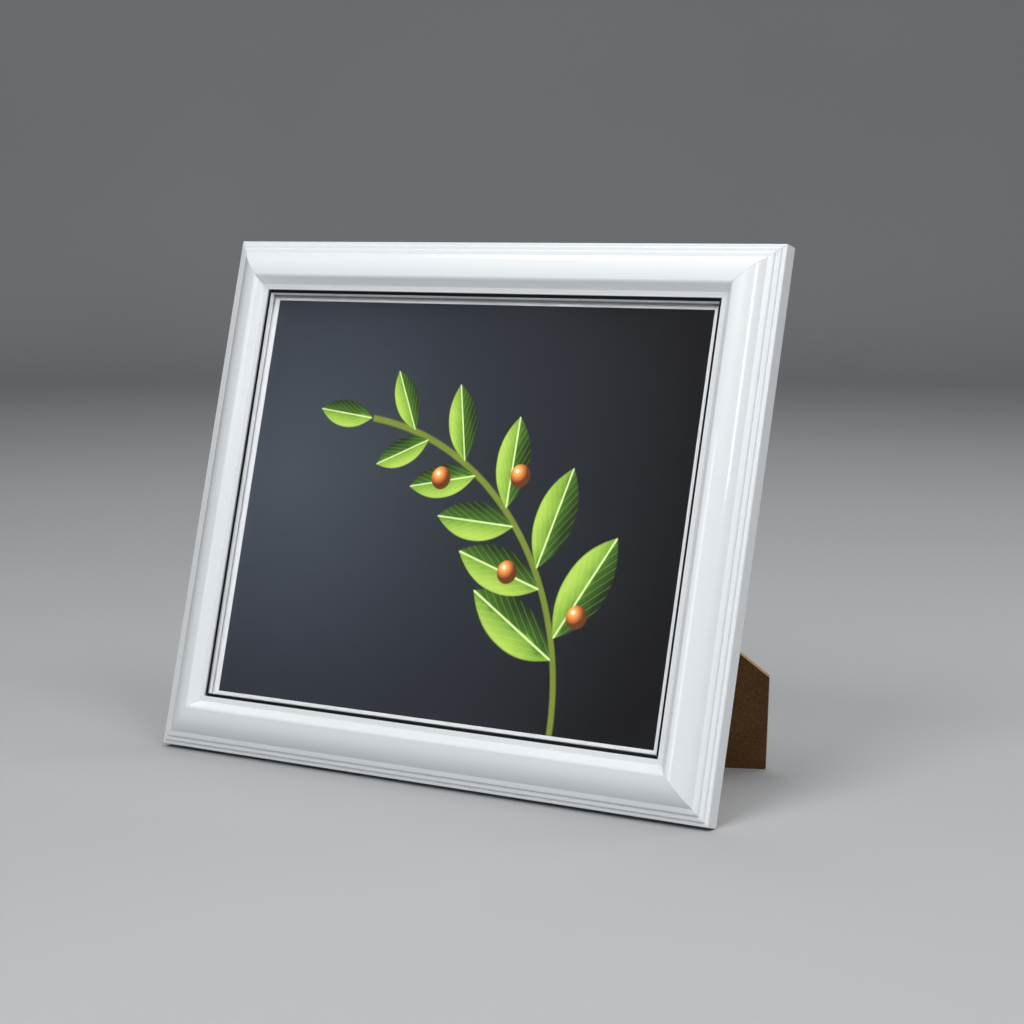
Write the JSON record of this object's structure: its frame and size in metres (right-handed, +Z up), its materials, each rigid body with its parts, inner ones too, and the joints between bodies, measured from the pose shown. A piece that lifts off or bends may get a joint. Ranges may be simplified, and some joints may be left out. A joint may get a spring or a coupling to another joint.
{
  "type": "picture frame",
  "caption": "Landscape picture frame of mitred white gloss moulding with a silver slip, glass, print and back board, held by turn buttons and standing on a folding easel leg.",
  "frame": {"origin": "bottom centre of the object's box, on the surface that it stands on", "axes": "+X to the right seen from the front, +Y towards the back where the easel leg stands, +Z up; the frame leans back 15 degrees"},
  "size_m": [0.295, 0.1234, 0.2373],
  "materials": {
    "white_lacquer": "white gloss lacquer over wood",
    "silver_slip": "bright silver bead between black lines",
    "glass": "clear float glass",
    "print": "semi-gloss photo paper with a white margin",
    "card": "plain grey-brown card",
    "hardboard": "dark brown hardboard",
    "steel": "zinc-plated",
    "brass_plate": "brass-plated steel"
  },
  "bodies": {
    "frame": {"rail_bottom": "white_lacquer", "rail_right": "white_lacquer", "rail_top": "white_lacquer", "rail_left": "white_lacquer", "slip_bottom": "silver_slip", "slip_right": "silver_slip", "slip_top": "silver_slip", "slip_left": "silver_slip", "corner_nail_bottom_right_outer": "steel", "corner_nail_bottom_right_inner": "steel", "corner_nail_top_right_outer": "steel", "corner_nail_top_right_inner": "steel", "corner_nail_top_left_outer": "steel", "corner_nail_top_left_inner": "steel", "corner_nail_bottom_left_outer": "steel", "corner_nail_bottom_left_inner": "steel", "button_screw_bottom_1": "steel", "button_screw_bottom_2": "steel", "button_screw_right_1": "steel", "button_screw_top_1": "steel", "button_screw_top_2": "steel", "button_screw_left_1": "steel", "glass_pane": "glass", "print_sheet": "print", "backing_card": "card", "back_board": "hardboard", "hinge_board_leaf": "steel", "hinge_pin": "steel", "board_rivet_1": "steel", "board_rivet_2": "steel"},
    "leg": {"easel_leg": "hardboard", "hinge_leg_leaf": "steel", "leg_rivet_1": "steel", "leg_rivet_2": "steel"},
    "button_bottom_1": {"turn_button_bottom_1": "brass_plate"},
    "button_bottom_2": {"turn_button_bottom_2": "brass_plate"},
    "button_right": {"turn_button_right_1": "brass_plate"},
    "button_top_1": {"turn_button_top_1": "brass_plate"},
    "button_top_2": {"turn_button_top_2": "brass_plate"},
    "button_left": {"turn_button_left_1": "brass_plate"}
  },
  "joints": [
    {"name": "leg_fold", "type": "hinge", "parent": "frame", "child": "leg", "pos_m": [0.0024, -0.01187, 0.13253], "axis": [-0.7071, -0.183, -0.683], "range_deg": [0, 34]},
    {"name": "button_bottom_1_turn", "type": "hinge", "parent": "frame", "child": "button_bottom_1", "pos_m": [-0.05, -0.04731, 0.00952], "axis": [0, 0.9659, -0.2588], "range_deg": [-90, 90]},
    {"name": "button_bottom_2_turn", "type": "hinge", "parent": "frame", "child": "button_bottom_2", "pos_m": [0.05, -0.04731, 0.00952], "axis": [0, 0.9659, -0.2588], "range_deg": [-90, 90]},
    {"name": "button_right_turn", "type": "hinge", "parent": "frame", "child": "button_right", "pos_m": [0.1375, -0.01833, 0.1177], "axis": [0, 0.9659, -0.2588], "range_deg": [-90, 90]},
    {"name": "button_top_1_turn", "type": "hinge", "parent": "frame", "child": "button_top_1", "pos_m": [0.05, 0.01066, 0.22588], "axis": [0, 0.9659, -0.2588], "range_deg": [-90, 90]},
    {"name": "button_top_2_turn", "type": "hinge", "parent": "frame", "child": "button_top_2", "pos_m": [-0.05, 0.01066, 0.22588], "axis": [0, 0.9659, -0.2588], "range_deg": [-90, 90]},
    {"name": "button_left_turn", "type": "hinge", "parent": "frame", "child": "button_left", "pos_m": [-0.1375, -0.01833, 0.1177], "axis": [0, 0.9659, -0.2588], "range_deg": [-90, 90]}
  ]
}
